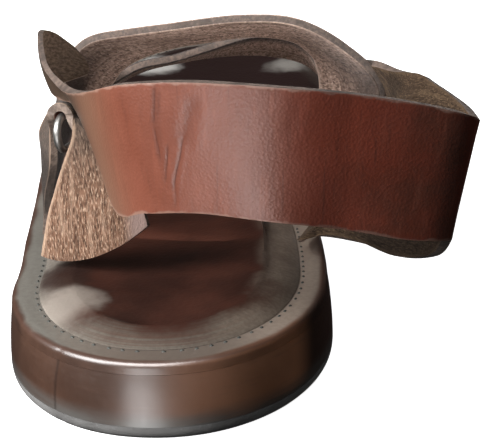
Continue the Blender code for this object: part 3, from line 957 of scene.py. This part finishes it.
class Nodes:
    """A tree of nodes, with short calls to add to it."""

    def __init__(self, tree):
        self.tree = tree

    def node(self, kind, inputs, **settings):
        made = self.tree.nodes.new(kind)
        for setting, value in settings.items():
            setattr(made, setting, value)
        for key, value in inputs.items():
            self.set(made.inputs[key], value)
        return made

    def set(self, socket, value):
        if isinstance(value, bpy.types.NodeSocket):
            self.tree.links.new(value, socket)
        elif isinstance(value, tuple) and len(value) == 3 and socket.type == "RGBA":
            socket.default_value = (*value, 1.0)
        else:
            socket.default_value = value

    def math(self, operation, *values):
        return self.node("ShaderNodeMath", dict(enumerate(values)), operation=operation).outputs[0]

    def sum(self, first, second):
        return self.math("ADD", first, second)

    def product(self, first, second):
        return self.math("MULTIPLY", first, second)


class Look(Nodes):
    """A material whose colour is built up by tints."""

    def __init__(self, name):
        self.material = bpy.data.materials.new(name)
        self.material.use_nodes = True
        super().__init__(self.material.node_tree)
        self.shader = self.tree.nodes["Principled BSDF"]
        self.colour = None

    def place(self, scale=(1.0, 1.0, 1.0)):
        return self.scaled_place(self.node("ShaderNodeTexCoord", {}).outputs["Object"], scale)

    def scaled_place(self, place, scale):
        return self.node("ShaderNodeMapping", {"Vector": place, "Scale": scale}).outputs[0]

    def along_axis(self, axis):
        return self.node("ShaderNodeSeparateXYZ", {"Vector": self.place()}).outputs[axis]

    def mark(self, name):
        return self.node("ShaderNodeAttribute", {}, attribute_name=name).outputs["Fac"]

    def noise(self, scale, detail=3.0, roughness=0.55, place=None):
        inputs = {"Vector": place or self.place(), "Scale": scale, "Detail": detail, "Roughness": roughness}
        return self.node("ShaderNodeTexNoise", inputs).outputs["Fac"]

    def strap_noise(self, along_scale, across_scale, detail=3.0, roughness=0.55):
        """Noise that is drawn out along a strap or across it."""
        strap = self.node("ShaderNodeUVMap", {}, uv_map="strap").outputs["UV"]
        place = self.scaled_place(strap, (along_scale, across_scale, 1.0))
        return self.noise(1.0, detail, roughness, place)

    def cells(self, scale):
        return self.node("ShaderNodeTexVoronoi", {"Vector": self.place(), "Scale": scale}).outputs["Distance"]

    def span(self, value, low, high, start=0.0, end=1.0):
        inputs = {"Value": value, "From Min": low, "From Max": high, "To Min": start, "To Max": end}
        return self.node("ShaderNodeMapRange", inputs, interpolation_type="SMOOTHSTEP").outputs["Result"]

    def vary(self, noise, start=0.0, end=1.0):
        """Spread the usual range of a noise from start to end."""
        return self.span(noise, 0.3, 0.7, start, end)

    def blend(self, share, first, second):
        return self.node("ShaderNodeMix", {0: share, 6: first, 7: second}, data_type="RGBA").outputs[2]

    def tint(self, share, colour):
        self.colour = self.blend(share, self.colour, colour)

    def tint_round(self, spot, radii, share, colour, uneven):
        """Tint within the inner radius of a spot, fading to the outer one."""
        inputs = {0: self.place(), 1: spot}
        away = self.node("ShaderNodeVectorMath", inputs, operation="DISTANCE").outputs["Value"]
        self.tint(self.span(self.sum(away, uneven), *radii, share, 0.0), colour)

    def relief(self, *layers):
        """Bumps on one another. Each is a height, a depth and a strength."""
        normal = None
        for height, depth, strength in layers:
            inputs = {"Height": height, "Distance": depth * MM, "Strength": strength}
            if normal:
                inputs["Normal"] = normal
            normal = self.node("ShaderNodeBump", inputs).outputs["Normal"]
        self.set(self.shader.inputs["Normal"], normal)

    def finish(self, roughness, **values):
        values.update(Base_Color=self.colour, Roughness=roughness)
        for key, value in values.items():
            self.set(self.shader.inputs[key.replace("_", " ")], value)
        return self.material


def scaled(colour, share):
    return tuple(share * c for c in colour)


def grain_look(name, dark, light, tints, roughness, coat):
    """Smooth waxed leather with fine grain, painted shade in its creases and pale along its worn edges."""
    look = Look(name)
    across = look.along_axis("X")
    cloud = look.noise(40.0, 4.0)
    fine = look.noise(1600.0)
    streak = look.strap_noise(500.0, 70.0)
    scratch = look.strap_noise(900.0, 30.0, 2.0)
    aged = look.mark("aged")
    look.colour = look.blend(look.vary(cloud), dark, light)
    # Tints across the foot, partly hue and partly painted shade
    for first_x, last_x, tint in tints:
        look.tint(look.span(across, first_x, last_x, 0.0, 0.85), tint)
    stains = look.span(look.noise(55.0, 5.0), 0.42, 0.66, 0.0, STAIN_SHARE)
    look.tint(look.product(stains, look.span(across, *STAINED_WIDTH)), STAIN_COLOUR)
    look.tint(look.span(streak, 0.5, 0.75, 0.0, 0.3), scaled(light, 1.4))
    look.tint(look.span(streak, 0.25, 0.45, 0.35, 0.0), scaled(dark, 0.6))
    look.tint(look.span(scratch, 0.62, 0.72, 0.0, 0.4), scaled(dark, 0.55))
    # Painted shade in the creases, and inside the quarter strap's fold loop
    look.tint(look.mark("crease"), CREASE_SHADE_COLOUR)
    look.tint(look.span(aged, 0.05, 0.5, 0.0, 0.7), AGED_COLOUR)
    look.tint(look.span(aged, 0.45, 0.9), OLDEST_COLOUR)
    ragged = look.math("SUBTRACT", look.mark("edge"), look.vary(look.noise(300.0), 0.0, 0.6))
    look.tint(look.span(ragged, -0.2, 0.4, 0.6, 0.0), RUBBED_COLOUR)
    look.relief((look.cells(1500.0), 0.045, 1.0), (look.noise(420.0), 0.02, 0.45))
    shine = look.span(look.sum(cloud, fine), 0.6, 1.4, *roughness)
    return look.finish(shine, Coat_Weight=coat, Coat_Roughness=0.33)


def flesh_look(name, dark, middle, pale, shading_colour, fibre_scale, depth, sheen, shades, edge_share):
    """Raw flesh side: long loose fibres, dull and uneven, turning to the shading colour where it is marked as
    painted light and shade, with painted shade at the given spots.
    """
    look = Look(name)
    cloud = look.noise(70.0)
    fibres = look.strap_noise(*fibre_scale, 3.0, 0.6)
    flecks = look.strap_noise(*scaled(fibre_scale, 1.9), 2.0)
    bands = look.strap_noise(55.0, 480.0)
    look.colour = look.blend(look.span(fibres, 0.33, 0.62), dark, middle)
    look.tint(look.span(flecks, 0.50, 0.70), pale)
    look.tint(look.span(bands, 0.3, 0.48, 0.35, 0.0), pale)
    look.tint(look.span(bands, 0.5, 0.7, 0.0, 0.6), dark)
    look.tint(look.span(cloud, 0.45, 0.75, 0.0, 0.55), dark)
    # Where marked, the shading colour: painted light up the heel strap, painted shade on the ball strap,
    # darker over the quarter strap's leg and fold down to its tab
    shading_tint = look.blend(look.span(fibres, 0.35, 0.65), scaled(shading_colour, 0.45), shading_colour)
    look.tint(look.mark("painted_shading"), shading_tint)
    look.tint(look.span(look.mark("edge"), 0.3, 1.1, edge_share, 0.0), pale)
    uneven = look.vary(cloud, -SHADE_WAVE, SHADE_WAVE)
    # Painted shade at the given spots
    for spot, radii, share in shades:
        look.tint_round(spot, radii, share, scaled(dark, 0.15), uneven)
    # Painted highlight along the marked rim
    look.tint(look.mark("rim"), pale)
    look.tint(look.mark("margin"), MARGIN_COLOUR)
    look.relief((fibres, depth, 1.0), (flecks, depth * 0.5, 0.7))
    return look.finish(look.vary(fibres, 0.95, 0.8), Sheen_Weight=sheen, Sheen_Roughness=0.5,
                       Specular_IOR_Level=0.12)


def cut_edge_look(name, dark, pale, dirt_and_shade_colour, shades):
    """Raw cut edge: fibrous and a little dirty, with painted shade at the given spots."""
    look = Look(name)
    fibres = look.noise(900.0)
    look.colour = look.blend(look.span(fibres, 0.35, 0.65), dark, pale)
    look.tint(look.span(look.noise(160.0), 0.48, 0.7, 0.0, 0.7), dirt_and_shade_colour)
    uneven = look.vary(look.noise(70.0), -SHADE_WAVE, SHADE_WAVE)
    # Painted shade at the given spots
    for spot, radii, share in shades:
        look.tint_round(spot, radii, share, scaled(dirt_and_shade_colour, 0.3), uneven)
    look.relief((fibres, 0.15, 1.0))
    return look.finish(look.vary(fibres, 0.7, 0.9))


def waxed_colour(look, cloud):
    """Brown wax of the sole's edge. Behind the heel, painted light makes it paler inwards and painted shade
    darkens its inner side.
    """
    across = look.along_axis("X")
    heel = look.span(look.along_axis("Y"), *HEEL_LIGHT_AND_SHADE_END, 1.0, 0.0)
    # Painted light, paler inwards behind the heel
    painted_light = look.product(look.span(across, *WAX_PAINTED_LIGHT_WIDTH), heel)
    dark = look.blend(painted_light, WAX_DARK, WAX_PAINTED_LIGHT_DARK)
    light = look.blend(painted_light, WAX_LIGHT, WAX_PAINTED_LIGHT_LIGHT)
    # Painted shade on the inner side behind the heel
    side = look.product(look.span(across, *SIDE_SHADE_WIDTH, 0.0, 0.97), heel)
    return look.blend(side, look.blend(look.vary(cloud), dark, light), SIDE_SHADE_COLOUR)


def sole_wall_look():
    """Waxed wall with fine level lines, a dark upright joint and grey dust towards the floor."""
    look = Look("waxed sole wall")
    cloud = look.noise(35.0, 4.0)
    lines = look.noise(1.0, place=look.place((60.0, 60.0, 600.0)))
    fine = look.noise(900.0)
    look.colour = waxed_colour(look, cloud)
    look.tint(look.span(lines, 0.55, 0.75, 0.0, 0.3), WALL_LINE_COLOUR)
    low = look.span(look.mark("height"), 0.0, 0.36, 0.95, 0.0)
    look.tint(look.product(low, look.span(lines, 0.3, 0.6, 0.6, 1.0)), FLOOR_DUST)
    off = look.sum(look.along_axis("Y"), (HEEL_CENTRE - WALL_JOINT_STATION) * MM)
    joint = look.span(look.math("ABSOLUTE", off), 0.0001, 0.0005, 0.45, 0.0)
    outer = look.span(look.along_axis("X"), -0.01, 0.0, 1.0, 0.0)
    look.tint(look.product(joint, outer), WALL_JOINT_COLOUR)
    look.relief((lines, 0.04, 1.0), (fine, 0.03, 0.7))
    shine = look.span(look.sum(cloud, fine), 0.7, 1.3, 0.32, 0.42)
    return look.finish(shine, Coat_Weight=0.9, Coat_Roughness=0.30)


def welt_look():
    """Waxed lip that turns grey with dust on the flat of the rim."""
    look = Look("dusty waxed rim")
    cloud = look.noise(70.0, 4.0)
    fine = look.noise(800.0)
    inset = look.mark("inset")
    look.colour = waxed_colour(look, cloud)
    look.tint(look.span(inset, 0.08, 0.6, 0.0, 0.85), LIP_COLOUR)
    flat = look.span(look.sum(inset, look.vary(cloud, -0.5, 0.5)), 0.7, 2.4)
    across = look.along_axis("X")
    dust = look.blend(look.span(across, -0.030, 0.0), RIM_DUST_OUTER, RIM_DUST_MIDDLE)
    dust = look.blend(look.span(across, 0.012, 0.032), dust, RIM_DUST_INNER)
    dust = look.blend(look.vary(fine, 0.3, 0.0), dust, RIM_SPECKS)
    look.tint(look.product(flat, 0.9), dust)
    look.relief((fine, 0.04, 1.0), (look.noise(200.0), 0.08, 0.7))
    return look.finish(look.span(flat, 0.0, 1.0, 0.36, 0.55), Coat_Weight=1.0, Coat_Roughness=0.34)


def insole_look():
    """Dark footbed polished by wear, dusty and pale towards its border; painted shade darkens it forward,
    painted light lifts its border's inner side, and patches add painted shadow, dust and painted highlights.
    """
    look = Look("polished footbed")
    across = look.along_axis("X")
    forward = look.along_axis("Y")
    inset = look.mark("inset")
    cloud = look.noise(60.0, 4.0)
    fine = look.noise(1000.0)
    look.colour = look.blend(look.vary(cloud), FOOTBED_DARK, FOOTBED_LIGHT)
    # Painted shade, darker from under the instep strap forward
    look.tint(look.span(forward, 0.03, 0.10), FOOTBED_FRONT_SHADE)
    ragged = look.sum(inset, look.vary(cloud, -3.0, 3.0))
    border = look.product(look.span(ragged, 8.0, 17.0, 1.0, 0.0), look.span(forward, 0.12, 0.17, 1.0, 0.15))
    rings = look.noise(0.9, 2.0, place=inset)
    dust = look.blend(look.span(rings, 0.4, 0.6), FOOTBED_DUST_DARK, FOOTBED_DUST_LIGHT)
    dust = look.blend(look.span(across, -0.032, -0.005, 0.9, 0.0), dust, FOOTBED_DUST_OUTER)
    # Dust on the border's inner side, lifted as painted light
    dust = look.blend(look.span(across, 0.005, 0.025, 0.0, 0.85), dust, FOOTBED_INNER_DUST_AND_LIGHT)
    dust = look.blend(look.span(fine, 0.35, 0.65, 0.3, 0.0), dust, FOOTBED_SPECKS)
    look.tint(look.product(border, 0.85), dust)
    # Patches: painted shadow below the tab, dust at the heel, painted highlights under the toes
    uneven = look.vary(cloud, -PATCH_WAVE, PATCH_WAVE)
    for spot, radii, share, colour in FOOTBED_PATCHES_AND_PAINTED_LIGHT:
        look.tint_round(spot, radii, share, colour, uneven)
    look.relief((look.cells(900.0), 0.04, 1.0), (look.noise(220.0, 4.0), 0.06, 0.7))
    return look.finish(look.span(border, 0.0, 1.0, 0.48, 0.62), Specular_IOR_Level=0.18)


def rubber_look():
    """Worn grey rubber with fine specks."""
    look = Look("worn grey rubber")
    cloud = look.noise(80.0, 4.0)
    specks = look.noise(1400.0, 2.0)
    look.colour = look.blend(look.vary(cloud), RUBBER_DARK, RUBBER_LIGHT)
    look.tint(look.span(specks, 0.58, 0.72, 0.0, 0.4), RUBBER_SPECKS)
    look.relief((specks, 0.10, 1.0), (look.noise(300.0), 0.15, 0.7))
    return look.finish(look.vary(cloud, 0.62, 0.8))


def metal_look():
    """Dull plated wire with fine scratches."""
    look = Look("plated wire")
    cloud = look.noise(300.0)
    scratches = look.noise(1.0, 2.0, place=look.place((2500.0, 2500.0, 300.0)))
    look.colour = look.blend(look.span(cloud, 0.35, 0.7), METAL_LIGHT, METAL_DARK)
    look.relief((scratches, 0.02, 1.0))
    return look.finish(look.vary(scratches, 0.36, 0.52), Metallic=1.0)


def thread_look():
    """Dark waxed thread."""
    look = Look("dark thread")
    twist = look.noise(1600.0, 2.0)
    look.colour = look.blend(look.span(twist, 0.35, 0.65), THREAD_DARK, THREAD_LIGHT)
    look.relief((twist, 0.12, 1.0))
    return look.finish(look.vary(twist, 0.55, 0.8))


def floor_look():
    """Plain pale floor, lit from within so that it stays light round the shoe."""
    look = Look("pale floor")
    look.colour = look.blend(look.noise(3.0, 2.0), FLOOR_DARK, FLOOR_LIGHT)
    return look.finish(0.9, Emission_Color=(1.0, 1.0, 1.0), Emission_Strength=1.0)


def make_looks():
    looks = {
        "sole_wall": sole_wall_look(),
        "welt": welt_look(),
        "insole": insole_look(),
        "rubber": rubber_look(),
        "metal": metal_look(),
        "thread": thread_look(),
    }
    for make, rows in ((grain_look, GRAIN_LOOKS), (flesh_look, FLESH_LOOKS), (cut_edge_look, CUT_EDGE_LOOKS)):
        for key, *values in rows:
            looks[key] = make(*values)
    return looks


def toward(azimuth, elevation):
    """Direction from the shoe, with azimuth 0 behind the heel and positive to the inner side."""
    a = math.radians(azimuth)
    e = math.radians(elevation)
    return Vector((math.sin(a) * math.cos(e), -math.cos(a) * math.cos(e), math.sin(e)))


def add_camera():
    back = toward(CAMERA_AZIMUTH, CAMERA_ELEVATION)
    right = UP.cross(back).normalized()
    camera_data = bpy.data.cameras.new("camera")
    camera_data.lens = CAMERA_LENS
    camera_data.sensor_fit = "HORIZONTAL"
    camera_data.clip_start = 0.01
    camera = bpy.data.objects.new("camera", camera_data)
    bpy.context.scene.collection.objects.link(camera)
    level = Matrix((right, back.cross(right), back)).transposed().to_4x4()
    placed = level @ Matrix.Rotation(CAMERA_ROLL, 4, "Z")
    placed.translation = CAMERA_PLACE
    camera.matrix_world = placed
    bpy.context.scene.camera = camera


def add_lights():
    for number, (azimuth, elevation, distance, width, height, power, reach) in enumerate(LIGHTS):
        light = bpy.data.lights.new(f"soft light {number}", "AREA")
        light.shape = "RECTANGLE"
        light.size = width
        light.size_y = height
        light.energy = power
        lamp = bpy.data.objects.new(f"soft light {number}", light)
        direction = toward(azimuth, elevation)
        lamp.location = LIGHT_TARGET + direction * distance
        lamp.rotation_euler = direction.to_track_quat("Z", "Y").to_euler()
        lamp.visible_diffuse = reach != "shine"
        lamp.visible_glossy = reach != "dull"
        bpy.context.scene.collection.objects.link(lamp)


def add_room():
    """Soft glow of the room, brighter in some directions."""
    world = bpy.data.worlds.new("room")
    world.use_nodes = True
    bpy.context.scene.world = world
    room = Nodes(world.node_tree)
    direction = room.node("ShaderNodeTexCoord", {}).outputs["Generated"]
    level = ROOM_LEVEL
    for azimuth, elevation, sharpness, strength in ROOM_GLOW:
        inputs = {0: direction, 1: toward(azimuth, elevation)}
        facing = room.node("ShaderNodeVectorMath", inputs, operation="DOT_PRODUCT").outputs["Value"]
        fall = room.math("MULTIPLY_ADD", facing, sharpness, -sharpness)
        level = room.math("MULTIPLY_ADD", room.math("EXPONENT", fall), strength, level)
    room.set(room.tree.nodes["Background"].inputs["Strength"], level)


def add_floor():
    bm = bmesh.new()
    half = FLOOR_HALF_SIZE
    corners = [(-half, -half), (half, -half), (half, half), (-half, half)]
    bm.faces.new([bm.verts.new((x, y, -FLOOR_DROP * MM)) for x, y in corners])
    mesh = bpy.data.meshes.new("floor")
    bm.to_mesh(mesh)
    bm.free()
    mesh.materials.append(floor_look())
    floor = bpy.data.objects.new("floor", mesh)
    bpy.context.scene.collection.objects.link(floor)
    floor.visible_glossy = False
    floor.visible_diffuse = False
    floor.visible_shadow = False


def main():
    bpy.context.scene.view_settings.view_transform = "Standard"
    add_camera()
    add_lights()
    add_room()
    add_floor()
    looks = make_looks()
    build_sole(looks)
    build_stitches(looks["thread"])
    build_crossing(looks)
    build_heel_strap(looks)
    build_quarter_strap(looks)
    build_ring(looks["metal"])


main()
